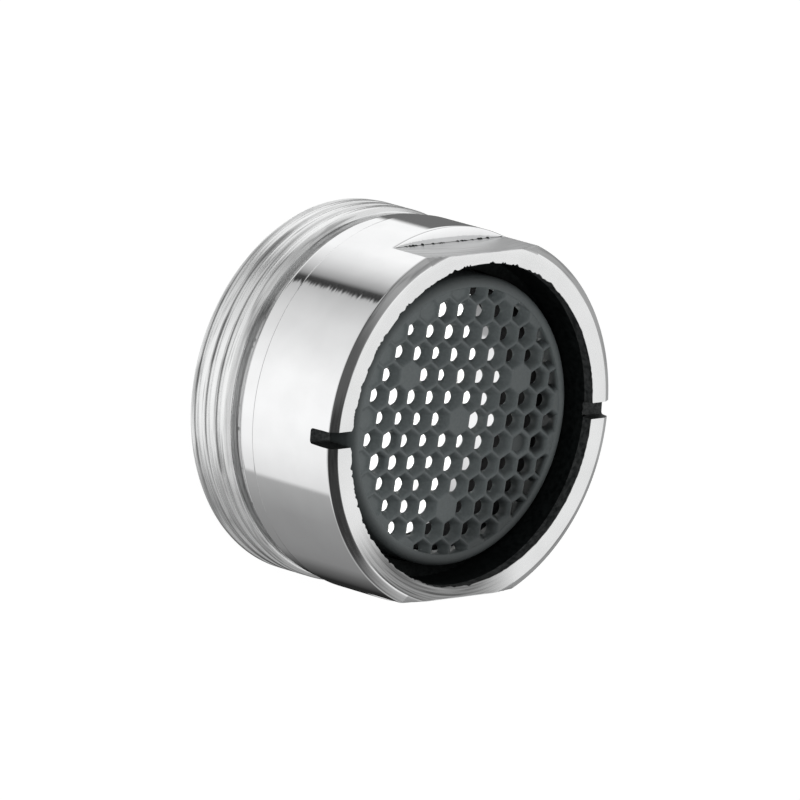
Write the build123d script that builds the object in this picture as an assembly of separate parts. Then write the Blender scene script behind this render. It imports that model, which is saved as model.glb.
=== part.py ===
"""Tap flow regulator: a threaded chrome housing, a moulded honeycomb insert and a sealing washer.

Millimetres. +Z is the way the water flows: the inlet end with its thread is at the bottom and the
outlet face is on top. The part stands on the washer, whose inlet face is the plane Z = 0.
X runs through the two slots of the rim, Y through the two spanner flats.
"""

import math
import os

from build123d import *

# Housing outside, listed from the inlet end to the outlet
OUTER_D = 24.0  # over the crests of the M24 x 1 thread, and over the body
LEAD_LENGTH = 0.6  # chamfer that starts the thread
LEAD_DEPTH = 0.6
THREAD_LENGTH = 3.05
RUNOUT_LENGTH = 0.45  # cone between the thread and the groove
RUNOUT_DEPTH = 0.25
GROOVE_LENGTH = 0.95  # relief groove behind the thread
GROOVE_DEPTH = 0.7
SHANK_LENGTH = 1.25  # band between the groove and the body
SHANK_STEP = 0.15
BODY_LENGTH = 6.95
RIM_CHAMFER_LENGTH = 0.35
RIM_CHAMFER_DEPTH = 0.56

# Spanner flats and slots, cut from the outlet end
FLAT_DEPTH = 1.0  # below the body, which leaves a 22 mm spanner size
FLATS_LENGTH = 3.4
SLOT_WIDTH = 1.0
DEEP_SLOT_DEPTH = 2.0  # on the -X side
SHALLOW_SLOT_DEPTH = 0.9  # on the +X side
SLOT_CORNER_R = 0.2

# Housing inside
RIM_WALL = 1.66  # wall round the recess at the outlet
RECESS_DEPTH = 3.4
LIP_LENGTH = 1.2  # inner lip that holds the insert against the water
LIP_LEDGE = 0.65  # width of the ledge under the lip
WASHER_LEDGE = 0.75  # width of the seat under the washer

# Honeycomb insert
NOSE_GAP = 1.07  # open ring round the insert at the outlet
NOSE_CLEARANCE = 0.08  # all round, where the nose passes the lip
NOSE_CHAMFER = 0.15  # front edge of the nose
INSERT_RECESS = 1.24  # front of the insert below the outlet face
FLANGE_LENGTH = 2.1
FLANGE_CLEARANCE = 0.03  # all round, a push fit in the bore
FLANGE_CHAMFER = 0.25
RING_WALL = 0.77
PLATE_THICKNESS = 0.7  # honeycomb, flush with the ring at the front

# Cells of the honeycomb
CELL_PITCH = 1.605
RIDGE_FRONT = 0.34  # width of the wall between two cells at the outlet side
RIDGE_BACK = 0.42  # the same at the inlet side, after the draft of the mould
LATTICE_ANGLE = -5.8  # degrees from X to a row of cells
PART_CELL_REACH = 0.4  # a cell is cut if its centre lies no further than this beyond the ring's bore
BLIND_DEPTH = 0.35  # floor of the closed cell below the honeycomb's face
FILLED_CELLS = [(0, 0), (2, 2), (-4, 2), (2, -4)]  # gate marks, as steps along two rows of cells
BLIND_CELL = (4, -1)

# Sealing washer
WASHER_THICKNESS = 2.0
WASHER_PROUD = 0.4  # beyond the inlet end of the housing
WASHER_WIDTH = 2.2
WASHER_CLEARANCE = 0.05  # all round, in its seat

# Heights that the housing and the pieces in it share
inlet_z = WASHER_PROUD
thread_z = inlet_z + LEAD_LENGTH
runout_z = thread_z + THREAD_LENGTH
groove_z = runout_z + RUNOUT_LENGTH
shank_z = groove_z + GROOVE_LENGTH
body_z = shank_z + SHANK_LENGTH
rim_z = body_z + BODY_LENGTH
outlet_z = rim_z + RIM_CHAMFER_LENGTH
lip_top_z = outlet_z - RECESS_DEPTH
lip_seat_z = lip_top_z - LIP_LENGTH
front_z = outlet_z - INSERT_RECESS
flange_z = lip_seat_z - FLANGE_LENGTH

# Radii that the housing and the pieces in it share
outer_r = OUTER_D / 2
recess_r = outer_r - RIM_WALL
nose_r = recess_r - NOSE_GAP
lip_r = nose_r + NOSE_CLEARANCE
bore_r = lip_r + LIP_LEDGE
seat_r = bore_r + WASHER_LEDGE
ring_bore_r = nose_r - RING_WALL


def turned(points):
    """Solid of revolution about Z from its half section, given as (radius, height) corners."""
    section = make_face(Polyline(*[(r, 0, z) for r, z in points], close=True))
    return revolve(section, Axis.Z)


def housing_blank():
    """The housing as it leaves the lathe, before the flats and slots are milled."""
    return turned(
        [
            (seat_r, inlet_z),
            (outer_r - LEAD_DEPTH, inlet_z),
            (outer_r, thread_z),
            (outer_r, runout_z),
            (outer_r - RUNOUT_DEPTH, groove_z),
            (outer_r - GROOVE_DEPTH, groove_z),
            (outer_r - GROOVE_DEPTH, shank_z),
            (outer_r - SHANK_STEP, shank_z),
            (outer_r - SHANK_STEP, body_z),
            (outer_r, body_z),
            (outer_r, rim_z),
            (outer_r - RIM_CHAMFER_DEPTH, outlet_z),
            (recess_r, outlet_z),
            (recess_r, lip_top_z),
            (lip_r, lip_top_z),
            (lip_r, lip_seat_z),
            (bore_r, lip_seat_z),
            (bore_r, WASHER_THICKNESS),
            (seat_r, WASHER_THICKNESS),
        ]
    )


def flat_cutters():
    """Two blocks that leave the spanner flats and their square shoulders."""
    block = Box(OUTER_D, 2 * FLAT_DEPTH, 2 * FLATS_LENGTH)
    return [Pos(0, side * outer_r, outlet_z) * block for side in (-1, 1)]


def slot_cutter(side, depth):
    """Saw cut from the axis out through the rim on one side, with rounded lower corners."""
    profile = RectangleRounded(SLOT_WIDTH, 2 * depth, SLOT_CORNER_R)
    placed = Plane(origin=(0, 0, outlet_z), x_dir=(0, 1, 0), z_dir=(side, 0, 0)) * profile
    return extrude(placed, amount=outer_r)


def make_housing():
    slots = [slot_cutter(-1, DEEP_SLOT_DEPTH), slot_cutter(1, SHALLOW_SLOT_DEPTH)]
    return housing_blank() - flat_cutters() - slots


def insert_blank():
    """Nose ring, plate and flange of the insert, with no cells in the plate."""
    flange_r = bore_r - FLANGE_CLEARANCE
    plate_back_z = front_z - PLATE_THICKNESS
    return turned(
        [
            (0, plate_back_z),
            (ring_bore_r, plate_back_z),
            (ring_bore_r, flange_z),
            (flange_r - FLANGE_CHAMFER, flange_z),
            (flange_r, flange_z + FLANGE_CHAMFER),
            (flange_r, lip_seat_z),
            (nose_r, lip_seat_z),
            (nose_r, front_z - NOSE_CHAMFER),
            (nose_r - NOSE_CHAMFER, front_z),
            (0, front_z),
        ]
    )


def cell_centre(a, b):
    """Centre of a cell that lies a steps along one row and b along the row at 60 degrees to it."""
    along = CELL_PITCH * (a + b / 2)
    across = CELL_PITCH * b * math.sqrt(3) / 2
    turn = math.radians(LATTICE_ANGLE)
    x = along * math.cos(turn) - across * math.sin(turn)
    y = along * math.sin(turn) + across * math.cos(turn)
    return x, y


def cell_outline(width, height):
    """Six-sided outline of a cell, with its sides facing the six cells around it."""
    outline = RegularPolygon(width / 2, 6, major_radius=False, rotation=LATTICE_ANGLE + 30)
    return Pos(0, 0, height) * outline


def cell_cutter(depth):
    """Drafted six-sided hole of the given depth, wide at the honeycomb's face."""
    draft = (RIDGE_BACK - RIDGE_FRONT) / PLATE_THICKNESS
    front_width = CELL_PITCH - RIDGE_FRONT
    front = cell_outline(front_width, front_z)
    back = cell_outline(front_width - draft * depth, front_z - depth)
    return loft([front, back], ruled=True)


def open_cells():
    """Steps along the two rows for every cell that goes through the plate."""
    reach = ring_bore_r + PART_CELL_REACH
    steps = range(-math.ceil(2 * reach / CELL_PITCH), math.ceil(2 * reach / CELL_PITCH) + 1)
    cells = [(a, b) for a in steps for b in steps if math.hypot(*cell_centre(a, b)) <= reach]
    return [cell for cell in cells if cell not in FILLED_CELLS and cell != BLIND_CELL]


def make_insert():
    through = cell_cutter(PLATE_THICKNESS)
    cutters = [Pos(*cell_centre(*cell)) * through for cell in open_cells()]
    cutters.append(Pos(*cell_centre(*BLIND_CELL)) * cell_cutter(BLIND_DEPTH))
    inside_ring = Pos(0, 0, front_z - PLATE_THICKNESS / 2) * Cylinder(ring_bore_r, PLATE_THICKNESS)
    return insert_blank() - (Compound(cutters) & inside_ring).solids()


def make_washer():
    washer_r = seat_r - WASHER_CLEARANCE
    hole_r = washer_r - WASHER_WIDTH
    corners = [(hole_r, 0), (washer_r, 0), (washer_r, WASHER_THICKNESS), (hole_r, WASHER_THICKNESS)]
    return turned(corners)


os.makedirs("parts", exist_ok=True)
export_step(make_housing(), "parts/housing.step")
export_step(make_insert(), "parts/honeycomb_insert.step")
export_step(make_washer(), "parts/sealing_washer.step")
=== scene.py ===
"""Looks of the tap flow regulator: threaded chrome housing, grey honeycomb insert, silicone washer."""

import math

import bmesh
import bpy
import numpy as np
from mathutils import Matrix, Vector


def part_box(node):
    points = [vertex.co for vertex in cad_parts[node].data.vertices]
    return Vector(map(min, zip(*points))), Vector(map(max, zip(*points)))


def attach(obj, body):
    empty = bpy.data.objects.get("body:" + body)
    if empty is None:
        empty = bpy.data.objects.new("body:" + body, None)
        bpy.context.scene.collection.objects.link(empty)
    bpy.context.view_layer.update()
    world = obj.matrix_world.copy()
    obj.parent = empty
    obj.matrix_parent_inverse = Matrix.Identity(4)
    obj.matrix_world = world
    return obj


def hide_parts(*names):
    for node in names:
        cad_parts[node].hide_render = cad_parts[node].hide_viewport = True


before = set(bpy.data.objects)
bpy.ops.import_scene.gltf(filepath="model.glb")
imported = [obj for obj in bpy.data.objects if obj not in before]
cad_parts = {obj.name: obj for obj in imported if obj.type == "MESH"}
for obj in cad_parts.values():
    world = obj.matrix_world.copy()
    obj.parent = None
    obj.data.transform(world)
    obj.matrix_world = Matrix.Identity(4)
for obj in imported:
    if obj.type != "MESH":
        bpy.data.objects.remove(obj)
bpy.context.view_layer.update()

MM = 0.001

# Where the photograph looks from, with angles in degrees
IMAGE_PX = 800
AXIS_PX = (469.3, 424.1)  # pixel of the point on the axis at the rim's outer edge
PX_PER_MM = 16.03
AXIS_TILT = 45.0  # from the line of sight to the part's axis
AXIS_IN_IMAGE = 16.0  # the axis runs to the right and this far below the horizontal
FAR_SIDE_ANGLE = -16.4  # about Z, the side of the outlet that lies furthest from the camera
CAMERA_DISTANCE = 0.9  # metres
SENSOR = 36.0  # millimetres

# Housing, millimetres
housing_low, housing_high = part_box("housing")
OUTER_R = housing_high.x / MM
INLET_Z = housing_low.z / MM
OUTLET_Z = housing_high.z / MM
LEAD_LENGTH = 0.6
THREAD_END_Z = INLET_Z + 3.65
GROOVE_Z = THREAD_END_Z + 0.45
RUNOUT_DEPTH = 0.25
THREAD_PITCH = 1.0
THREAD_DEPTH = 0.12
THREAD_VALLEY_POWER = 3.0  # above 1 the crests are wider than the valleys
THREAD_LINES = [(2, 0.012, 0.3), (3, 0.01, 1.7), (5, 0.007, 2.9)]  # tool lines to a turn, depth, phase
THREAD_ROWS = 84
THREAD_PHASE_Z = 1.4  # height of a valley on the side that faces the camera
GROOVE_R = OUTER_R - 0.7
GROOVE_ROWS = 8
GROOVE_ROUGHNESS = 0.003
SHANK_Z = INLET_Z + 5.05
SHANK_R = OUTER_R - 0.15
BODY_Z = INLET_Z + 6.3
RIM_Z = OUTLET_Z - 0.35
FACE_OUTER_R = OUTER_R - 0.56
FLAT_R = OUTER_R - 1.0
FLAT_SHOULDER_Z = OUTLET_Z - 3.4
SLOT_HALF = 0.5
SLOT_CORNER_R = 0.2
DEEP_SLOT_Z = OUTLET_Z - 2.0  # on the -X side
SHALLOW_SLOT_Z = OUTLET_Z - 0.9  # on the +X side
RECESS_R = OUTER_R - 1.66
LIP_TOP_Z = OUTLET_Z - 3.4
LIP_SEAT_Z = OUTLET_Z - 4.6
EDGE = 0.05  # how far an edge is rounded
BLEND = 0.03  # how far two surfaces run into each other where they cross
SHARP_ANGLE = 40  # degrees between two faces, from which the edge is drawn sharp
RIM_OVERHANG = 0.07  # burr that stands over the recess at the inner edge of the face
BITE_COUNT = 230  # bites torn out of that burr
BURR_COUNT = 240  # nubs along the roots of the flats
BURR_CLUSTER = 4  # nubs that lie close together

# Numbers of the housing's materials, in the order in which they are made below
CHROME, GROOVE, FACE, RECESS_SHADE, THREAD, CUT_SHADE, RIM_EDGE_SHADE, CHAMFER, FLAT = range(9)

# Columns of the housing's mesh, degrees round the axis
NEAR_FROM = 64
NEAR_TO = 232
NEAR_STEP = 0.5  # on the side that the photograph shows
FAR_STEP = 1.2
FLAT_STEP = 0.25  # on the upper flat, whose root has burrs
SMALLEST_STEP = 0.06
SLOT_PARALLEL = (5, 14)  # from a slot's middle, over which columns turn from parallel to radial

# Honeycomb insert, millimetres
NOSE_R = RECESS_R - 1.07
LIP_R = NOSE_R + 0.08
BORE_R = LIP_R + 0.65
SEAT_R = BORE_R + 0.75
RING_BORE_R = NOSE_R - 0.77
RING_Z = OUTLET_Z - 1.24
PLATE_Z = RING_Z - 0.02
PLATE_THICKNESS = 0.68
FLANGE_R = BORE_R - 0.03
FLANGE_Z = LIP_SEAT_Z - 2.1
CELL_PITCH = 1.605
RIDGE_FRONT = 0.34
RIDGE_BACK = 0.42
LATTICE_ANGLE = -5.8
PART_CELL_REACH = 0.4
FILLED_CELLS = [(0, 0), (2, 2), (-4, 2), (2, -4)]
BLIND_CELL = (4, -1)
BLIND_DEPTH = 0.35
WIDE_CELLS = [(1, 0), (-4, 1), (-3, -1), (-3, -2)]  # moulded with less flash than the others
WIDE_CELL = 0.15  # wider on each side by this much
CELL_SPREAD = 0.03  # scatter of the cells' width and lean
CELL_SPREAD_LIMIT = 0.06
DENT_SIDE = -3.0  # part cells that lie nearer the camera than this are only dents
PLATE_REACH = 1.3  # cells are laid out to this far beyond the ring's bore
PLATE_OVERLAP = 0.2  # the plate is then trimmed to this far inside the ring
SKIRT_DEPTH = 0.6  # below the plate, where the inside of the ring is painted black as shade
INSERT_SHARP_ANGLE = 42
SIDE_STEPS = [(1, 0), (0, 1), (-1, 1), (-1, 0), (0, -1), (1, -1)]  # the six cells around a cell
SIDE_POINTS = 6  # points along one side of a cell

# Painted shade on the insert, in shares of its colour
CELL_PAINTED_SHADE = 0.85  # painted shade: lost in the deepest cells on the far side
LOW_FAR_SHADED_TONE = 0.55  # left at the low far side under painted shade
LOW_FAR_SIDE = (0.8, 0.6)  # that side's direction, by its parts to the low and to the far side

# Where a painted shade or a ripple starts and where it is full
PAINTED_SHADE_EDGE = (0.85, 0.25)  # millimetres in from the outer edge of the insert's ring
PAINTED_SHADE_DEPTH = (0.05, 0.4)  # millimetres below the face of its plate
PAINTED_SHADE_FAR = (2.5, 8.5)  # millimetres from the axis to the far side
PAINTED_SHADE_LOW_FAR = (5.0, 8.0)  # millimetres from the axis to the low far side
PAINTED_SHADE_NEAR = (-0.6, 0.2)  # round the ring, from -1 at the far side to 1 at the near side
PAINTED_FACE_SHADE = (0.7, 0.97)  # painted shade on the face, from -1 at the side high in the image to 1 at the low side
RIPPLE_ABOVE = (-0.515, -0.495)  # on the body in the same way, at the upper end of the ripple
RIPPLE_BELOW = (-0.43, -0.465)  # at its lower end

# Washer, millimetres
washer_low, washer_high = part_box("sealing_washer")
WASHER_R = washer_high.x / MM
WASHER_HOLE_R = WASHER_R - 2.2
WASHER_TOP_Z = washer_high.z / MM

# Brightness of the studio below the horizon, by the degrees round the axis from the camera's side
LOW_LIGHT = [
    (-160, 0.16), (-136, 0.16), (-131, 1.0), (-92, 1.0), (-80, 0.82), (-72, 0.6), (-65, 0.33),
    (-62, 0.06), (-58, 0.03), (-56, 0.5), (-48, 0.6), (-36, 0.72), (-24, 0.79), (0, 0.98),
    (24, 1.0), (46, 0.93), (66, 0.77), (69, 0.39), (90, 0.29), (128, 0.23), (140, 0.12), (156, 0.02),
]
HORIZON_LIGHT = 0.28
HORIZON_SWING = 0.48  # share of the low light that the horizon has as well
NADIR_LIGHT = 0.75
CEILING_LIGHT = 0.1

# Heights at which one light of the studio gives way to the next, from -1 below to 1 above
NADIR_EDGE = (-0.92, -0.8)
HORIZON_EDGE = (-0.58, -0.34)
CEILING_EDGE = (0.16, 0.42)

# Floor, metres where it is a length
FLOOR_HALF = 0.6
FLOOR_DROP = 0.00001
FLOOR_GREY = (0.14, 0.14, 0.14, 1)
FLOOR_GLOW = 0.95

rng = np.random.default_rng(24)


# Meshes

def new_object(name, vertices_mm, faces, materials, face_material=None):
    """Smooth mesh object from vertices in millimetres."""
    mesh = bpy.data.meshes.new(name)
    mesh.from_pydata((np.asarray(vertices_mm) * MM).tolist(), [], faces)
    for material in materials:
        mesh.materials.append(material)
    if face_material is not None:
        mesh.polygons.foreach_set("material_index", np.asarray(face_material, np.int32))
    mesh.polygons.foreach_set("use_smooth", np.ones(len(mesh.polygons), bool))
    mesh.update()
    obj = bpy.data.objects.new(name, mesh)
    bpy.context.scene.collection.objects.link(obj)
    return obj


def clean(obj, merge_mm=0.0004):
    """Merges doubled vertices, removes faces with no area and turns normals outwards."""
    work = bmesh.new()
    work.from_mesh(obj.data)
    bmesh.ops.remove_doubles(work, verts=work.verts, dist=merge_mm * MM)
    bmesh.ops.dissolve_degenerate(work, edges=work.edges, dist=merge_mm * MM)
    bmesh.ops.recalc_face_normals(work, faces=work.faces)
    work.to_mesh(obj.data)
    work.free()
    obj.data.update()


def weigh_normals(obj):
    """Large faces keep their own normal, so only the rounded edges bend the reflections."""
    obj.data.set_sharp_from_angle(angle=math.radians(SHARP_ANGLE))
    modifier = obj.modifiers.new("edges", "WEIGHTED_NORMAL")
    modifier.mode = "FACE_AREA"
    modifier.weight = 50
    modifier.keep_sharp = True


def ring_faces(rows, columns):
    """Quads of a closed ring of rows, each row a closed ring of columns."""
    faces = []
    for i in range(rows):
        j = (i + 1) % rows
        for k in range(columns):
            m = (k + 1) % columns
            faces.append((i * columns + k, i * columns + m, j * columns + m, j * columns + k))
    return faces


def smooth_min(a, b, width):
    """The smaller of two heights, rounded where they cross."""
    h = np.clip(0.5 + 0.5 * (b - a) / width, 0, 1)
    return b + (a - b) * h - width * h * (1 - h)


def smooth_step(x, low, high):
    """Rises from 0 to 1 between two values, with soft ends."""
    t = np.clip((x - low) / (high - low), 0, 1)
    return t * t * (3 - 2 * t)


# Housing

def column_angles():
    """Angles of the housing's columns in degrees, closer together at the flats' edges and slots."""
    flat_edge = math.degrees(math.asin(FLAT_R / OUTER_R))
    slot_edge = math.degrees(math.asin(SLOT_HALF / OUTER_R))
    close_to_flat = [flat_edge + step for step in (-0.5, -0.25, -0.1, 0, 0.1, 0.25, 0.5)]
    close_to_slot = [slot_edge + step for step in (-0.6, -0.3, -0.1, 0.0, 0.1, 0.3)]
    extra = [side * angle for side in (-1, 1) for angle in close_to_flat + close_to_slot]
    extra += [180 - angle for angle in extra]
    extra += list(np.arange(flat_edge, 180 - flat_edge, FLAT_STEP))
    near_side = np.arange(NEAR_FROM, NEAR_TO, NEAR_STEP)
    far_side = np.arange(NEAR_TO, NEAR_FROM + 360, FAR_STEP)
    angles = np.concatenate([near_side, np.mod(far_side, 360), np.mod(extra, 360)])
    angles = np.unique(np.round(angles, 4))
    gap = np.diff(np.append(angles, angles[0] + 360))
    return angles[gap > SMALLEST_STEP]


def flat_radius(angle):
    """Distance from the axis to the spanner flats in this direction, large where there is none."""
    return FLAT_R / np.maximum(np.abs(np.sin(angle)), 0.2)


def thread_radius(angle, z):
    """Right-hand thread with rounded crests, cut into the thread stretch."""
    camera_side = math.radians(FAR_SIDE_ANGLE + 180)
    turns = (z - THREAD_PHASE_Z) / THREAD_PITCH - (angle - camera_side) / (2 * math.pi)
    valley = (0.5 + 0.5 * np.cos(2 * math.pi * turns)) ** THREAD_VALLEY_POWER
    lines = 0
    for number, depth, phase in THREAD_LINES:
        lines = lines + depth * (0.5 + 0.5 * np.cos(2 * math.pi * number * turns + phase))
    lead = OUTER_R - LEAD_LENGTH + (z - INLET_Z)
    crest = smooth_min(np.full_like(angle, OUTER_R), np.full_like(angle, lead), 0.12)
    cut = OUTER_R + 0.01 - THREAD_DEPTH * valley - lines
    fade = smooth_step(z, THREAD_END_Z - 0.2, THREAD_END_Z + 0.1)
    runout = OUTER_R - RUNOUT_DEPTH * smooth_step(z, THREAD_END_Z - 0.1, GROOVE_Z + 0.15)
    return smooth_min(crest, cut + fade * (OUTER_R - cut), BLEND) + runout - OUTER_R


def peaks(angle, centre, width, height):
    """Outline of many pointed peaks round the axis, with centres and half widths in radians."""
    away = np.abs((angle[:, None] - centre[None, :] + math.pi) % (2 * math.pi) - math.pi)
    return np.max(height * np.clip(1 - away / width, 0, 1), axis=1)


def bites(angle):
    """How far the inner edge of the face is torn back, mostly on the side near the camera."""
    centre = rng.uniform(0, 2 * math.pi, BITE_COUNT)
    width = rng.uniform(0.006, 0.025, BITE_COUNT)
    depth = rng.uniform(0.02, 0.16, BITE_COUNT)
    far = np.cos(centre - math.radians(FAR_SIDE_ANGLE))
    depth *= np.where(far > 0.35, 0.3, 1.0)
    return peaks(angle, centre, width, depth)


def burrs(angle):
    """Small nubs that the milling cutter left along the root of each spanner flat."""
    cluster = rng.uniform(0, 2 * math.pi, BURR_COUNT // BURR_CLUSTER)
    centre = np.repeat(cluster, BURR_CLUSTER) + rng.normal(0, 0.018, BURR_COUNT)
    width = rng.uniform(0.003, 0.009, BURR_COUNT)
    height = rng.uniform(0.02, 0.11, BURR_COUNT)
    return peaks(angle, centre, width, height)


def housing_rows(angle):
    """Rows (radius, height, material) round the housing's section, up its outside and down its inside."""
    one = np.ones_like(angle)
    rows = []

    def add(radius, z, material):
        rows.append((radius * one, z * one, material))

    # Thread, groove and shank
    for z in np.linspace(INLET_Z, GROOVE_Z - 0.03, THREAD_ROWS):
        add(thread_radius(angle, z), z, THREAD)
    rough = rng.normal(0, GROOVE_ROUGHNESS, (GROOVE_ROWS, len(angle)))
    add(GROOVE_R + 0.4, GROOVE_Z + 0.01, GROOVE)
    add(GROOVE_R + 0.25, GROOVE_Z + 0.05, GROOVE)
    add(GROOVE_R + 0.1, GROOVE_Z + 0.12, GROOVE)
    for k, z in enumerate(np.linspace(GROOVE_Z + 0.25, SHANK_Z - 0.1, GROOVE_ROWS)):
        add(GROOVE_R + rough[k], z, GROOVE)
    add(GROOVE_R + 0.02, SHANK_Z - 0.05, GROOVE)
    add(SHANK_R - 0.1, SHANK_Z - 0.02, CHROME)
    add(SHANK_R - 0.02, SHANK_Z + 0.03, CHROME)
    for z in (SHANK_Z + 0.1, SHANK_Z + 0.2, BODY_Z - 0.2, BODY_Z - 0.06):
        add(SHANK_R, z, CHROME)

    # Body, with a thin line of painted shade where it starts
    add(SHANK_R + 0.02, BODY_Z - 0.02, CHROME)
    add(OUTER_R - 0.03, BODY_Z, CUT_SHADE)
    add(OUTER_R, BODY_Z + 0.05, CHROME)
    add(OUTER_R, BODY_Z + 0.1, CHROME)
    for z in np.linspace(BODY_Z + 0.4, FLAT_SHOULDER_Z - 0.3, 4):
        add(OUTER_R, z, CHROME)

    # Shoulders, roots and faces of the flats
    flat = smooth_min(OUTER_R * one, flat_radius(angle), BLEND)
    step = OUTER_R - flat
    add(OUTER_R, FLAT_SHOULDER_Z - EDGE, CHROME)
    add(OUTER_R - np.minimum(0.4 * EDGE, step), FLAT_SHOULDER_Z - 0.3 * EDGE, CHROME)
    add(OUTER_R - np.minimum(EDGE, step), FLAT_SHOULDER_Z, CHROME)
    # The root of each flat is a line of painted shade, and its taller nubs are painted dark too
    nubs = np.where(step > 0.1, burrs(angle), 0)
    burr = np.where(step > 0.1, CUT_SHADE, CHROME)
    add(flat + np.minimum(0.4 * EDGE, step) + nubs, FLAT_SHOULDER_Z, burr)
    add(flat + nubs, FLAT_SHOULDER_Z + 0.5 * EDGE + nubs, np.where(nubs > 0.012, CUT_SHADE, CHROME))
    add(flat, FLAT_SHOULDER_Z + 0.13, CHROME)
    for z in (FLAT_SHOULDER_Z + 0.3, DEEP_SLOT_Z, OUTLET_Z - 1.0, SHALLOW_SLOT_Z):
        add(flat, z, CHROME)

    # Chamfer and face of the rim
    slope = (OUTER_R - FACE_OUTER_R) / (OUTLET_Z - RIM_Z)
    for z in (RIM_Z - 0.1, RIM_Z - 0.05, RIM_Z, RIM_Z + 0.05, RIM_Z + 0.1, RIM_Z + 0.2, OUTLET_Z - 0.05):
        cone = smooth_min(OUTER_R * one, OUTER_R - slope * (z - RIM_Z) * one, 0.08)
        add(smooth_min(cone, flat_radius(angle), BLEND), z, CHAMFER)
    rim = smooth_min(FACE_OUTER_R * one, flat_radius(angle), BLEND)
    add(rim + 0.01, OUTLET_Z - 0.012, CHAMFER)
    add(rim - 0.04, OUTLET_Z, FACE)
    torn = RECESS_R - RIM_OVERHANG + bites(angle)
    add(0.5 * (rim + torn), OUTLET_Z, FACE)
    add(torn + 0.02, OUTLET_Z, FACE)

    # Recess, lip, bore and washer seat; the top of the recess is painted dark grey and the rest of the
    # recess and the lip's top near black, as shade
    add(torn, OUTLET_Z - 0.02, RIM_EDGE_SHADE)
    add(RECESS_R + 0.7 * (torn - RECESS_R), OUTLET_Z - 0.12, RIM_EDGE_SHADE)
    add(RECESS_R, OUTLET_Z - 0.25, RIM_EDGE_SHADE)
    add(RECESS_R, OUTLET_Z - 0.8, RECESS_SHADE)
    add(RECESS_R, SHALLOW_SLOT_Z, RECESS_SHADE)
    add(RECESS_R, DEEP_SLOT_Z, RECESS_SHADE)
    add(RECESS_R, LIP_TOP_Z + EDGE, RECESS_SHADE)
    add(RECESS_R - EDGE, LIP_TOP_Z, RECESS_SHADE)
    add(LIP_R + EDGE, LIP_TOP_Z, RECESS_SHADE)
    add(LIP_R, LIP_TOP_Z - EDGE, RECESS_SHADE)
    add(LIP_R, LIP_SEAT_Z + EDGE, CHROME)
    add(LIP_R + EDGE, LIP_SEAT_Z, CHROME)
    add(BORE_R - EDGE, LIP_SEAT_Z, CHROME)
    add(BORE_R, LIP_SEAT_Z - EDGE, CHROME)
    add(BORE_R, WASHER_TOP_Z + EDGE, CHROME)
    add(BORE_R + EDGE, WASHER_TOP_Z, CHROME)
    add(SEAT_R - EDGE, WASHER_TOP_Z, CHROME)
    add(SEAT_R, WASHER_TOP_Z - EDGE, CHROME)
    add(SEAT_R, INLET_Z + EDGE, CHROME)
    add(SEAT_R + EDGE, INLET_Z, CHROME)
    return rows


def make_housing(materials):
    """Housing from rows round its section. In a slot the columns sink to its floor and run parallel."""
    angle = np.radians(column_angles())
    axis_angle = np.where(np.cos(angle) > 0, 0.0, math.pi)
    off_axis = (angle - axis_angle + math.pi) % (2 * math.pi) - math.pi
    straight = 1 - smooth_step(np.abs(off_axis), *np.radians(SLOT_PARALLEL))
    from_middle = np.abs(OUTER_R * np.sin(off_axis))
    in_slot = from_middle < SLOT_HALF
    in_corner = np.clip(from_middle - SLOT_HALF + SLOT_CORNER_R, 0, SLOT_CORNER_R)
    slot_floor = np.where(np.cos(angle) > 0, SHALLOW_SLOT_Z, DEEP_SLOT_Z)
    slot_floor = slot_floor + SLOT_CORNER_R - np.sqrt(SLOT_CORNER_R ** 2 - in_corner ** 2)
    on_flat = flat_radius(angle) < OUTER_R - 0.02
    rows = housing_rows(angle)
    vertices = []
    row_material = []
    sawn = []
    for radius, z, material in rows:
        across = np.clip(OUTER_R * np.sin(off_axis) / radius, -1, 1)
        turned = axis_angle + straight * np.arcsin(across) + (1 - straight) * off_axis
        height = np.where(in_slot, np.minimum(z, slot_floor), z)
        vertices.append(np.stack([radius * np.cos(turned), radius * np.sin(turned), height], 1))
        outside = np.isin(material, (CHROME, CHAMFER))
        milled = outside & on_flat & (z > FLAT_SHOULDER_Z + 0.01)
        row_material.append(np.where(milled, FLAT, material))
        sawn.append(in_slot & (z >= slot_floor))
    cut = np.array(sawn)
    cut = cut | np.roll(cut, -1, 1)
    cut = cut & np.roll(cut, -1, 0)
    # Faces inside the slots are painted dark, as shade
    face_material = np.where(cut, CUT_SHADE, np.array(row_material)).ravel()
    obj = new_object(
        "housing_chrome",
        np.concatenate(vertices),
        ring_faces(len(rows), len(angle)),
        materials,
        face_material,
    )
    clean(obj)
    weigh_normals(obj)
    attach(obj, "root")
    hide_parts("housing")


# Honeycomb insert

def lathe(name, section, materials, columns=320):
    """Closed turned ring from its section, given as (radius, height) corners."""
    angle = np.linspace(0, 2 * math.pi, columns, endpoint=False)
    vertices = [
        np.stack([r * np.cos(angle), r * np.sin(angle), np.full(columns, z)], 1) for r, z in section
    ]
    obj = new_object(name, np.concatenate(vertices), ring_faces(len(section), columns), materials)
    clean(obj)
    return obj


def cell_centre(a, b):
    """Centre of a cell, a steps along one row and b along the row at 60 degrees to it."""
    along = CELL_PITCH * (a + b / 2)
    across = CELL_PITCH * b * math.sqrt(3) / 2
    turn = math.radians(LATTICE_ANGLE)
    return np.array(
        [
            along * math.cos(turn) - across * math.sin(turn),
            along * math.sin(turn) + across * math.cos(turn),
        ]
    )


def cell_border():
    """Points round a cell on the middle of its walls, side by side, from corner to corner."""
    points = []
    for side in range(6):
        facing = math.radians(LATTICE_ANGLE + 60 * side)
        normal = np.array([math.cos(facing), math.sin(facing)])
        along = np.array([-normal[1], normal[0]])
        half = CELL_PITCH / 2 / math.sqrt(3)
        for k in range(SIDE_POINTS):
            points.append(normal * CELL_PITCH / 2 + along * half * (2 * k / SIDE_POINTS - 1))
    return np.array(points)


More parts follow.
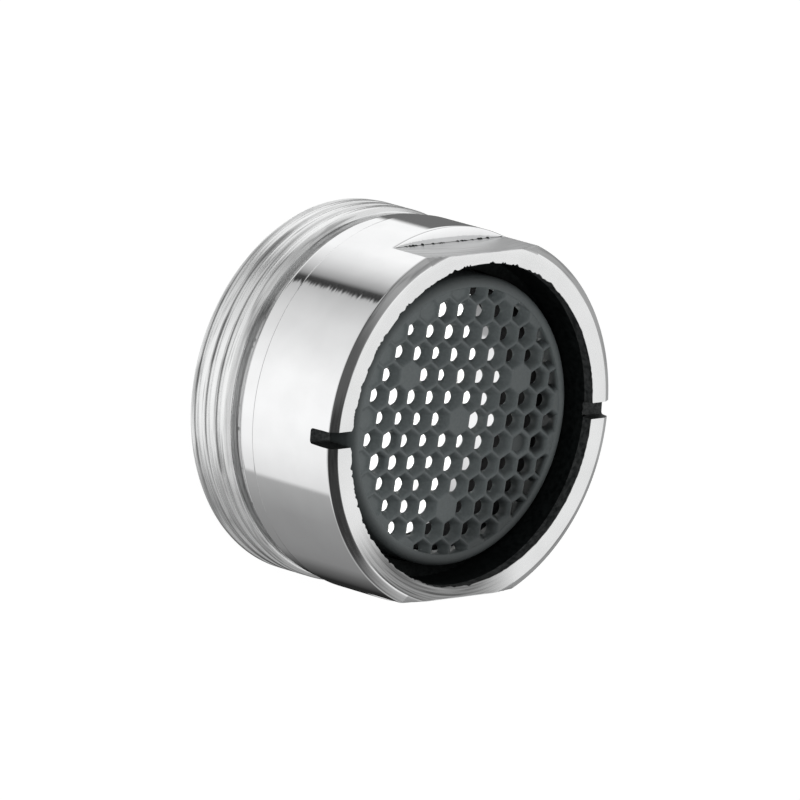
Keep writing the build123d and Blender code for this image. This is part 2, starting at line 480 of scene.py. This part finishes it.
def cell_loop(border, inset, rounding):
    """The border drawn in towards the cell's centre, with rounded corners."""
    direction = np.arctan2(border[:, 1], border[:, 0])
    facing = np.radians(LATTICE_ANGLE + 60 * np.arange(6))
    lean = np.cos(direction[:, None] - facing[None, :])
    reach = np.where(lean > 0.2, (CELL_PITCH / 2 - inset) / np.maximum(lean, 0.2), 9.0)
    soft = -rounding * np.log(np.exp(-reach / rounding).sum(1))
    return np.stack([soft * np.cos(direction), soft * np.sin(direction)], 1)


def cell_layers(kind, wider):
    """Loops (inset, corner rounding, depth) from the ridge down, for one kind of cell."""
    front = RIDGE_FRONT / 2
    back = RIDGE_BACK / 2 - wider
    crest = [(0.12 * front, 0.006, 0.004), (0.35 * front, 0.01, 0.02), (0.65 * front, 0.015, 0.06)]
    if kind == "open":
        return crest + [
            (0.9 * front, 0.02, 0.12),
            (front + 0.03, 0.04, 0.22),
            (back + 0.1, 0.08, 0.42),
            (back + 0.17, 0.12, PLATE_THICKNESS - 0.04),
            (back + 0.165, 0.125, PLATE_THICKNESS),
        ]
    if kind == "blind":
        return [
            (0.25 * front, 0.006, 0.003),
            (0.7 * front, 0.012, 0.015),
            (front, 0.02, 0.05),
            (front + 0.05, 0.04, 0.15),
            (front + 0.1, 0.08, BLIND_DEPTH - 0.05),
            (front + 0.2, 0.1, BLIND_DEPTH),
        ]
    if kind == "dent":
        return crest + [
            (0.9 * front, 0.02, 0.1),
            (front + 0.1, 0.05, 0.15),
            (front + 0.3, 0.06, 0.16),
        ]
    return [(0.1, 0.03, 0.004), (0.25, 0.05, 0.02), (0.5, 0.06, 0.03)]


def scatter(count):
    """Small random differences between one cell and the next."""
    return np.clip(rng.normal(0, CELL_SPREAD, count), -CELL_SPREAD_LIMIT, CELL_SPREAD_LIMIT)


def cell_kind(cell):
    """Open, blind, a dent at the near side of the ring, or filled."""
    centre = cell_centre(*cell)
    far_side = np.array(axes_of_view()[1])[:2]
    from_axis = np.hypot(*centre)
    if cell == BLIND_CELL:
        return "blind"
    if cell in FILLED_CELLS or from_axis > RING_BORE_R + PART_CELL_REACH:
        return "filled"
    if from_axis > RING_BORE_R - CELL_PITCH / 2 and centre @ far_side < DENT_SIDE:
        return "dent"
    return "open"


def honeycomb_plate(materials):
    """Plate of drafted cells that reaches into the ring all round."""
    reach = RING_BORE_R + PLATE_REACH
    most = math.ceil(2 * reach / CELL_PITCH)
    steps = range(-most, most + 1)
    cells = [(a, b) for a in steps for b in steps if np.hypot(*cell_centre(a, b)) <= reach]
    border = cell_border()
    count = len(border)
    vertices = []
    faces = []

    def add_loop(points, depth):
        start = len(vertices)
        vertices.extend([(x, y, PLATE_Z - depth) for x, y in points])
        return start

    def bridge(first, second):
        for k in range(count):
            m = (k + 1) % count
            faces.append((first + k, first + m, second + m, second + k))

    def cap(loop, centre, depth):
        middle = len(vertices)
        vertices.append((centre[0], centre[1], PLATE_Z - depth))
        for k in range(count):
            faces.append((loop + k, loop + (k + 1) % count, middle))

    for cell in cells:
        centre = cell_centre(*cell)
        kind = cell_kind(cell)
        wider = WIDE_CELL if cell in WIDE_CELLS else float(scatter(1)[0])
        lean = scatter(2)
        layers = cell_layers(kind, wider)
        top = add_loop(border + centre, 0.0)
        last = top
        for inset, rounding, depth in layers:
            drawn = cell_loop(border, inset, rounding) + centre + lean * depth / PLATE_THICKNESS
            loop = add_loop(drawn, depth)
            bridge(last, loop)
            last = loop
        back = add_loop(border + centre, PLATE_THICKNESS)
        if kind == "open":
            bridge(last, back)
        else:
            cap(last, centre, layers[-1][2] + 0.005)
            cap(back, centre, PLATE_THICKNESS)
        for side, (a, b) in enumerate(SIDE_STEPS):
            if (cell[0] + a, cell[1] + b) not in cells:
                for k in range(side * SIDE_POINTS, (side + 1) * SIDE_POINTS):
                    m = (k + 1) % count
                    faces.append((top + k, top + m, back + m, back + k))
    obj = new_object("honeycomb_plate", vertices, faces, materials)
    clean(obj)
    return obj


def combine(obj, other, operation):
    """Applies a boolean of two closed meshes and removes the second."""
    modifier = obj.modifiers.new(operation.lower(), "BOOLEAN")
    modifier.operation = operation
    modifier.object = other
    modifier.solver = "EXACT"
    depsgraph = bpy.context.evaluated_depsgraph_get()
    result = bpy.data.meshes.new_from_object(obj.evaluated_get(depsgraph))
    obj.modifiers.clear()
    obj.data = result
    bpy.data.objects.remove(other)


def make_insert(material, shade_material):
    """Ring and flange, turned, with the trimmed honeycomb plate joined to them."""
    back_z = PLATE_Z - PLATE_THICKNESS
    plate = honeycomb_plate([material])
    trim_r = RING_BORE_R + PLATE_OVERLAP
    trim = lathe(
        "trim",
        [(0.0, back_z - 1), (trim_r, back_z - 1), (trim_r, PLATE_Z + 1), (0.0, PLATE_Z + 1)],
        [material],
    )
    combine(plate, trim, "INTERSECT")
    ring = lathe(
        "honeycomb_insert_moulding",
        [
            (RING_BORE_R, back_z - SKIRT_DEPTH),
            (RING_BORE_R, FLANGE_Z + 0.06),
            (RING_BORE_R + 0.06, FLANGE_Z),
            (FLANGE_R - 0.25, FLANGE_Z),
            (FLANGE_R - 0.03, FLANGE_Z + 0.22),
            (FLANGE_R, FLANGE_Z + 0.3),
            (FLANGE_R, LIP_SEAT_Z - 0.05),
            (FLANGE_R - 0.05, LIP_SEAT_Z),
            (NOSE_R, LIP_SEAT_Z),
            (NOSE_R, RING_Z - 0.42),
            (NOSE_R - 0.04, RING_Z - 0.28),
            (NOSE_R - 0.12, RING_Z - 0.16),
            (NOSE_R - 0.24, RING_Z - 0.07),
            (NOSE_R - 0.38, RING_Z - 0.02),
            (NOSE_R - 0.52, RING_Z),
            (RING_BORE_R + 0.08, RING_Z),
            (RING_BORE_R + 0.03, RING_Z - 0.015),
            (RING_BORE_R, RING_Z - 0.05),
        ],
        [material],
    )
    combine(ring, plate, "UNION")
    # The ring's bore below the skirt depth takes the black of painted shade
    ring.data.materials.append(shade_material)
    for face in ring.data.polygons:
        near_bore = math.hypot(face.center.x, face.center.y) < (RING_BORE_R + 0.02) * MM
        if near_bore and face.center.z < (back_z - SKIRT_DEPTH - 0.01) * MM:
            face.material_index = 1
    ring.data.polygons.foreach_set("use_smooth", np.ones(len(ring.data.polygons), bool))
    ring.data.set_sharp_from_angle(angle=math.radians(INSERT_SHARP_ANGLE))
    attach(ring, "root")
    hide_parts("honeycomb_insert")


def make_washer(material):
    """Flat washer with rounded edges."""
    obj = lathe(
        "sealing_washer_rubber",
        [
            (WASHER_HOLE_R, EDGE),
            (WASHER_HOLE_R + EDGE, 0.0),
            (WASHER_R - EDGE, 0.0),
            (WASHER_R, EDGE),
            (WASHER_R, WASHER_TOP_Z - EDGE),
            (WASHER_R - EDGE, WASHER_TOP_Z),
            (WASHER_HOLE_R + EDGE, WASHER_TOP_Z),
            (WASHER_HOLE_R, WASHER_TOP_Z - EDGE),
        ],
        [material],
    )
    weigh_normals(obj)
    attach(obj, "root")
    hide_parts("sealing_washer")


# Materials

class Nodes:
    """Short way to add and link the nodes of one tree."""

    def __init__(self, tree):
        self.tree = tree
        tree.nodes.clear()

    def add(self, kind, inputs=None, **settings):
        node = self.tree.nodes.new(kind)
        for key, value in settings.items():
            setattr(node, key, value)
        for key, value in (inputs or {}).items():
            if isinstance(value, bpy.types.NodeSocket):
                self.tree.links.new(value, node.inputs[key])
            else:
                node.inputs[key].default_value = value
        return node

    def math(self, operation, a, b=0.0):
        return self.add("ShaderNodeMath", {0: a, 1: b}, operation=operation).outputs[0]

    def vector(self, operation, a, b=None, output="Vector"):
        inputs = {0: a}
        if b is not None:
            inputs["Scale" if operation == "SCALE" else 1] = b
        return self.add("ShaderNodeVectorMath", inputs, operation=operation).outputs[output]

    def dot(self, a, b):
        return self.vector("DOT_PRODUCT", a, tuple(b), "Value")

    def rest(self, share):
        return self.math("SUBTRACT", 1.0, share)

    def range(self, value, low, high, to_low=0.0, to_high=1.0, kind="SMOOTHSTEP"):
        inputs = {0: value, 1: low, 2: high, 3: to_low, 4: to_high}
        return self.add("ShaderNodeMapRange", inputs, interpolation_type=kind).outputs[0]


def new_material(name):
    """Material with a principled shader, its node tree and the position on the part in metres."""
    material = bpy.data.materials.new(name)
    material.use_nodes = True
    nodes = Nodes(material.node_tree)
    shader = nodes.add("ShaderNodeBsdfPrincipled")
    output = nodes.add("ShaderNodeOutputMaterial")
    material.node_tree.links.new(shader.outputs[0], output.inputs[0])
    position = nodes.add("ShaderNodeTexCoord").outputs["Object"]
    return material, nodes, shader, position


def round_coordinates(nodes, position):
    """Distance from the axis in millimetres, angle round it in radians and height in millimetres."""
    x, y, z = nodes.add("ShaderNodeSeparateXYZ", {0: position}).outputs
    square = nodes.math("ADD", nodes.math("MULTIPLY", x, x), nodes.math("MULTIPLY", y, y))
    radius = nodes.math("SQRT", square)
    turn = nodes.math("ARCTAN2", y, x)
    return nodes.math("DIVIDE", radius, MM), turn, nodes.math("DIVIDE", z, MM)


def outward_direction(nodes, position):
    """Unit vector from the axis to a place on the part."""
    return nodes.vector("NORMALIZE", nodes.vector("MULTIPLY", position, (1, 1, 0)))


def turning_noise(nodes, position, across, along):
    """Noise drawn out round the axis, as a lathe tool leaves it."""
    radius, turn, z = round_coordinates(nodes, position)
    seat = nodes.add(
        "ShaderNodeCombineXYZ",
        {
            0: nodes.math("MULTIPLY", nodes.math("COSINE", turn), along),
            1: nodes.math("MULTIPLY", nodes.math("SINE", turn), along),
            2: nodes.math("MULTIPLY", nodes.math("ADD", radius, z), across),
        },
    ).outputs[0]
    return nodes.add("ShaderNodeTexNoise", {"Vector": seat, "Scale": 1.0, "Detail": 3.0}).outputs[0]


def chrome(name, tint, rough, mark_depth, ripple=0.0, anisotropic=0.0, painted_low_shade=0.0, worn=0.0):
    """Plated metal with turning marks, from the range of its roughness and the marks' depth in mm.

    ripple makes the dark reflection on the body uneven, painted shade darkens the low side of the face by
    the next share and worn is the darkness of scratches round the axis.
    """
    _, _, low_side = axes_of_view()
    material, nodes, shader, position = new_material(name)
    links = nodes.tree.links
    marks = turning_noise(nodes, position, across=22.0, along=5.0)
    cloud = nodes.add("ShaderNodeTexNoise", {"Vector": position, "Scale": 420.0, "Detail": 2.0}).outputs[0]
    roughness = nodes.range(marks, 0.3, 0.7, *rough, "LINEAR")
    shade = nodes.range(cloud, 0.3, 0.7, 0.95, 1.0, "LINEAR")
    outward = outward_direction(nodes, position)
    lowness = nodes.dot(outward, low_side)
    if worn:
        scratches = nodes.range(turning_noise(nodes, position, across=7.0, along=2.5), 0.5, 0.68, 0.0, worn)
        shade = nodes.math("MULTIPLY", shade, nodes.rest(scratches))
    # Painted shade on the low side of the face, streaked round the axis
    if painted_low_shade:
        patch = nodes.range(lowness, *PAINTED_FACE_SHADE, 0.0, painted_low_shade)
        streaks = turning_noise(nodes, position, across=9.0, along=2.0)
        streaks = nodes.range(streaks, 0.35, 0.65, 0.75, 1.1, "LINEAR")
        shade = nodes.math("MULTIPLY", shade, nodes.rest(nodes.math("MULTIPLY", patch, streaks)))
    colour = nodes.vector("SCALE", tint, shade)
    normal = nodes.add("ShaderNodeNewGeometry").outputs["Normal"]
    if ripple:
        waves = turning_noise(nodes, position, across=4.5, along=1.5)
        lean = nodes.math("MULTIPLY", nodes.math("SUBTRACT", waves, 0.5), ripple)
        lean = nodes.math("MULTIPLY", lean, nodes.range(lowness, *RIPPLE_BELOW))
        lean = nodes.math("MULTIPLY", lean, nodes.range(lowness, *RIPPLE_ABOVE))
        sideways = nodes.vector("CROSS_PRODUCT", (0, 0, 1), outward)
        normal = nodes.vector("ADD", normal, nodes.vector("SCALE", sideways, lean))
        normal = nodes.vector("NORMALIZE", normal)
    inputs = {"Height": marks, "Distance": mark_depth * MM, "Strength": 1.0, "Normal": normal}
    bump = nodes.add("ShaderNodeBump", inputs)
    links.new(colour, shader.inputs["Base Color"])
    links.new(roughness, shader.inputs["Roughness"])
    links.new(bump.outputs[0], shader.inputs["Normal"])
    shader.inputs["Metallic"].default_value = 1.0
    if anisotropic:
        shader.inputs["Anisotropic"].default_value = anisotropic
        tangent = nodes.add("ShaderNodeTangent", direction_type="RADIAL", axis="Z")
        links.new(tangent.outputs[0], shader.inputs["Tangent"])
    return material


def insert_painted_shade(nodes, position, edge_share):
    """Share of its colour that the insert keeps under painted shade: less at the gap, down far cells and low
    on the far side.
    """
    _, far, low = axes_of_view()
    radius, _, z = round_coordinates(nodes, position)
    nearness = nodes.range(nodes.dot(outward_direction(nodes, position), -far), *PAINTED_SHADE_NEAR)
    edge = nodes.range(radius, NOSE_R - PAINTED_SHADE_EDGE[0], NOSE_R - PAINTED_SHADE_EDGE[1], 0.0, edge_share)
    depth = nodes.range(z, PLATE_Z - PAINTED_SHADE_DEPTH[0], PLATE_Z - PAINTED_SHADE_DEPTH[1], 0.0, CELL_PAINTED_SHADE)
    farness = nodes.range(nodes.math("DIVIDE", nodes.dot(position, far), MM), *PAINTED_SHADE_FAR)
    low_far = LOW_FAR_SIDE[0] * low + LOW_FAR_SIDE[1] * far
    aslant = nodes.math("DIVIDE", nodes.dot(position, low_far), MM)
    lit = nodes.range(aslant, *PAINTED_SHADE_LOW_FAR, 1.0, LOW_FAR_SHADED_TONE)
    unshaded_edge = nodes.rest(nodes.math("MULTIPLY", edge, nearness))
    unshaded_cell = nodes.rest(nodes.math("MULTIPLY", depth, farness))
    return nodes.math("MULTIPLY", nodes.math("MULTIPLY", unshaded_edge, unshaded_cell), lit)


def speckled(
    name, dark, light, grain, roughness, bump_depth, metallic=0.0, milky=0.0, gloss=0.5, painted_shade=0.0
):
    """Matt surface with a fine grain between two colours.

    grain is in spots to a millimetre and bump_depth in millimetres. milky lets light in under the surface,
    gloss is the strength of its reflections, and a share of painted shade darkens the insert's ring towards
    the gap, with its deep far cells and its low far side shaded as well.
    """
    material, nodes, shader, position = new_material(name)
    fine = nodes.add(
        "ShaderNodeTexNoise", {"Vector": position, "Scale": grain / MM, "Detail": 4.0, "Roughness": 0.65}
    ).outputs[0]
    colour = nodes.add(
        "ShaderNodeMix",
        {0: nodes.range(fine, 0.3, 0.7), 6: (*dark, 1), 7: (*light, 1)},
        data_type="RGBA",
    )
    bump = nodes.add("ShaderNodeBump", {"Height": fine, "Distance": bump_depth * MM, "Strength": 1.0})
    rough = nodes.range(fine, 0.3, 0.7, roughness - 0.06, roughness + 0.06, "LINEAR")
    links = nodes.tree.links
    tone = colour.outputs[2]
    # Painted shade on the insert: darker at the gap, down the far cells and low on the far side
    if painted_shade:
        tone = nodes.vector("SCALE", tone, insert_painted_shade(nodes, position, painted_shade))
    links.new(tone, shader.inputs["Base Color"])
    links.new(rough, shader.inputs["Roughness"])
    links.new(bump.outputs[0], shader.inputs["Normal"])
    shader.inputs["Metallic"].default_value = metallic
    shader.inputs["Specular IOR Level"].default_value = gloss
    shader.inputs["Subsurface Weight"].default_value = milky
    shader.inputs["Subsurface Radius"].default_value = (1.0, 1.0, 1.0)
    shader.inputs["Subsurface Scale"].default_value = 2 * MM
    return material


# Stage

def axes_of_view():
    """Unit vectors: the axis, the far side of the outlet, and the side that is low in the image."""
    turn = math.radians(FAR_SIDE_ANGLE)
    axis = Vector((0, 0, 1))
    far = Vector((math.cos(turn), math.sin(turn), 0))
    low = -axis.cross(far)
    return axis, far, low


def make_camera():
    """Camera that sees the axis and the rim where the photograph has them."""
    axis, far, low = axes_of_view()
    tilt, roll = math.radians(AXIS_TILT), math.radians(AXIS_IN_IMAGE)
    to_camera = math.cos(tilt) * axis - math.sin(tilt) * far
    along = math.sin(tilt) * axis + math.cos(tilt) * far
    right = math.cos(roll) * along - math.sin(roll) * low
    down = math.sin(roll) * along + math.cos(roll) * low
    target = Vector((0, 0, RIM_Z * MM))
    offset = [(AXIS_PX[k] - IMAGE_PX / 2) / PX_PER_MM * MM for k in (0, 1)]
    centre = target - right * offset[0] - down * offset[1]
    camera = bpy.data.objects.new("camera", bpy.data.cameras.new("camera"))
    camera.data.sensor_width = SENSOR
    camera.data.lens = SENSOR * CAMERA_DISTANCE * PX_PER_MM / (IMAGE_PX * MM)
    camera.data.clip_start = 0.01
    camera.data.clip_end = 10
    rotation = Matrix((right, -down, to_camera)).transposed().to_4x4()
    camera.matrix_world = Matrix.Translation(centre + to_camera * CAMERA_DISTANCE) @ rotation
    bpy.context.scene.collection.objects.link(camera)
    bpy.context.scene.camera = camera


def make_world():
    """White room with soft panels: a bright horizon and table, a dark ceiling with two soft boxes."""
    axis, far, low = axes_of_view()
    world = bpy.data.worlds.new("studio")
    bpy.context.scene.world = world
    world.use_nodes = True
    nodes = Nodes(world.node_tree)
    direction = nodes.add("ShaderNodeTexCoord").outputs["Generated"]

    def blend(share, first, second):
        return nodes.add("ShaderNodeMix", {0: share, 2: first, 3: second}, data_type="FLOAT").outputs[0]

    def softbox(elevation, degrees, radius, edge, level):
        height = math.radians(elevation)
        turn = math.radians(degrees)
        aim = math.sin(height) * axis + math.cos(height) * (math.sin(turn) * low - math.cos(turn) * far)
        rim = math.cos(math.radians(radius + edge))
        core = math.cos(math.radians(radius - edge))
        return nodes.range(nodes.dot(direction, aim), rim, core, 0.0, level)

    # Low light, by the angle round the axis
    up = nodes.dot(direction, axis)
    angle = nodes.math("ARCTAN2", nodes.dot(direction, low), nodes.dot(direction, -far))
    share = nodes.range(angle, -math.pi, math.pi, 0.0, 1.0, "LINEAR")
    ramp = nodes.add("ShaderNodeValToRGB", {0: share})
    stops = ramp.color_ramp.elements
    while len(stops) > 1:
        stops.remove(stops[-1])
    for index, (degrees, level) in enumerate(LOW_LIGHT):
        place = degrees / 360 + 0.5
        stop = stops[0] if index == 0 else stops.new(place)
        stop.position = place
        stop.color = (level, level, level, 1)

    # Ceiling with two soft boxes and a dark panel
    far_box = softbox(elevation=42, degrees=180, radius=40, edge=14, level=0.73)
    high_box = softbox(elevation=42, degrees=-110, radius=30, edge=16, level=0.27)
    dark_panel = softbox(elevation=55, degrees=75, radius=28, edge=4, level=0.6)
    ceiling = nodes.math("ADD", nodes.math("ADD", far_box, high_box), CEILING_LIGHT)
    ceiling = nodes.math("MULTIPLY", ceiling, nodes.rest(dark_panel))

    # From straight below up to the ceiling
    level = blend(nodes.range(up, *NADIR_EDGE), NADIR_LIGHT, ramp.outputs[0])
    horizon = nodes.math("ADD", nodes.math("MULTIPLY", ramp.outputs[0], HORIZON_SWING), HORIZON_LIGHT)
    level = blend(nodes.range(up, *HORIZON_EDGE), level, horizon)
    level = blend(nodes.range(up, *CEILING_EDGE), level, ceiling)
    light_path = nodes.add("ShaderNodeLightPath").outputs
    shown = blend(light_path["Is Camera Ray"], level, 1.0)
    background = nodes.add("ShaderNodeBackground", {0: (1, 1, 1, 1), 1: shown})
    output = nodes.add("ShaderNodeOutputWorld")
    nodes.tree.links.new(background.outputs[0], output.inputs[0])


def make_floor():
    """White floor that keeps a faint shadow and lets the light of the white room through from below."""
    corners = [(x * FLOOR_HALF, y * FLOOR_HALF, 0) for x, y in ((-1, -1), (1, -1), (1, 1), (-1, 1))]
    mesh = bpy.data.meshes.new("floor")
    mesh.from_pydata(corners, [], [(0, 1, 2, 3)])
    floor = bpy.data.objects.new("floor", mesh)
    bpy.context.scene.collection.objects.link(floor)
    material = bpy.data.materials.new("floor_white")
    material.use_nodes = True
    nodes = Nodes(material.node_tree)
    position = nodes.add("ShaderNodeTexCoord").outputs["Object"]
    distance = nodes.vector("LENGTH", position, None, "Value")
    # Under the part the floor is painted fully bright, a painted pool of light where its shadow would fall
    inside = nodes.math("LESS_THAN", distance, WASHER_R * MM)
    glow_and_painted_light = nodes.range(inside, 0, 1, FLOOR_GLOW, 1.0, "LINEAR")
    shade = nodes.add("ShaderNodeBsdfDiffuse", {0: FLOOR_GREY})
    white = nodes.add("ShaderNodeEmission", {1: glow_and_painted_light})
    seen = nodes.add("ShaderNodeAddShader", {0: shade.outputs[0], 1: white.outputs[0]})
    output = nodes.add("ShaderNodeOutputMaterial")
    nodes.tree.links.new(seen.outputs[0], output.inputs[0])
    mesh.materials.append(material)
    floor.visible_glossy = False
    floor.visible_diffuse = False
    floor.visible_shadow = False
    floor.location.z = -FLOOR_DROP


def make_light(name, place, size, power):
    """Soft round lamp aimed at the origin, which lights matt surfaces and doesn't show in the metal."""
    lamp = bpy.data.lights.new(name, "AREA")
    lamp.shape = "DISK"
    lamp.size = size
    lamp.energy = power
    obj = bpy.data.objects.new(name, lamp)
    obj.location = place
    obj.rotation_euler = (-Vector(place)).to_track_quat("-Z", "Y").to_euler()
    obj.visible_glossy = False
    obj.visible_camera = False
    bpy.context.scene.collection.objects.link(obj)


bpy.context.scene.view_settings.view_transform = "Standard"

# Materials of the housing, in the order of their numbers
housing_metals = [
    chrome("chrome_plate", (0.95, 0.953, 0.957), (0.03, 0.07), 0.0003, ripple=0.085),
    chrome("groove_metal", (0.8, 0.805, 0.805), (0.3, 0.5), 0.02, worn=0.6),
    chrome("turned_face", (0.93, 0.935, 0.935), (0.2, 0.3), 0.0015, anisotropic=0.4, painted_low_shade=0.8),
    # Near black, painted shade down the recess and on the lip's top
    speckled(
        "recess_painted_shade", (0.003, 0.004, 0.004), (0.012, 0.014, 0.014),
        grain=3.0, roughness=0.55, bump_depth=0.01, metallic=0.3, gloss=0.1,
    ),
    chrome("thread_metal", (0.95, 0.955, 0.955), (0.2, 0.36), 0.003, worn=0.45),
    # Near black metal, painted shade in the slots, along the flats' roots and where the body starts
    speckled(
        "cut_painted_shade", (0.012, 0.014, 0.014), (0.06, 0.063, 0.063),
        grain=4.0, roughness=0.5, bump_depth=0.01, metallic=0.6, gloss=0.2,
    ),
    # Dark grey, painted shade at the top of the recess under the face's torn edge
    speckled(
        "recess_edge_shade", (0.03, 0.035, 0.035), (0.13, 0.135, 0.135),
        grain=3.0, roughness=0.5, bump_depth=0.01, metallic=0.5,
    ),
    chrome("rim_chamfer", (0.95, 0.955, 0.958), (0.08, 0.2), 0.002, worn=0.35),
    chrome("milled_flat", (0.68, 0.685, 0.688), (0.34, 0.46), 0.002, worn=0.25),
]
plastic = speckled(
    "grey_moulding", (0.092, 0.106, 0.107), (0.112, 0.127, 0.129),
    grain=6.0, roughness=0.55, bump_depth=0.004, painted_shade=0.5,
)
# Near black, painted shade on the inside of the ring below the plate
skirt_shade_plastic = speckled(
    "skirt_painted_shade", (0.002, 0.002, 0.002), (0.004, 0.004, 0.004),
    grain=3.0, roughness=0.9, bump_depth=0.01, gloss=0.0,
)
silicone = speckled(
    "white_silicone", (0.84, 0.84, 0.82), (0.88, 0.88, 0.86),
    grain=4.0, roughness=0.5, bump_depth=0.003, milky=1.0,
)

make_housing(housing_metals)
make_insert(plastic, skirt_shade_plastic)
make_washer(silicone)

make_camera()
make_world()
make_floor()
make_light("key", place=(-0.0349, 0.0107, 0.0533), size=0.02, power=0.0148)
make_light("inside", place=(0, 0, 0.011), size=0.012, power=0.006)
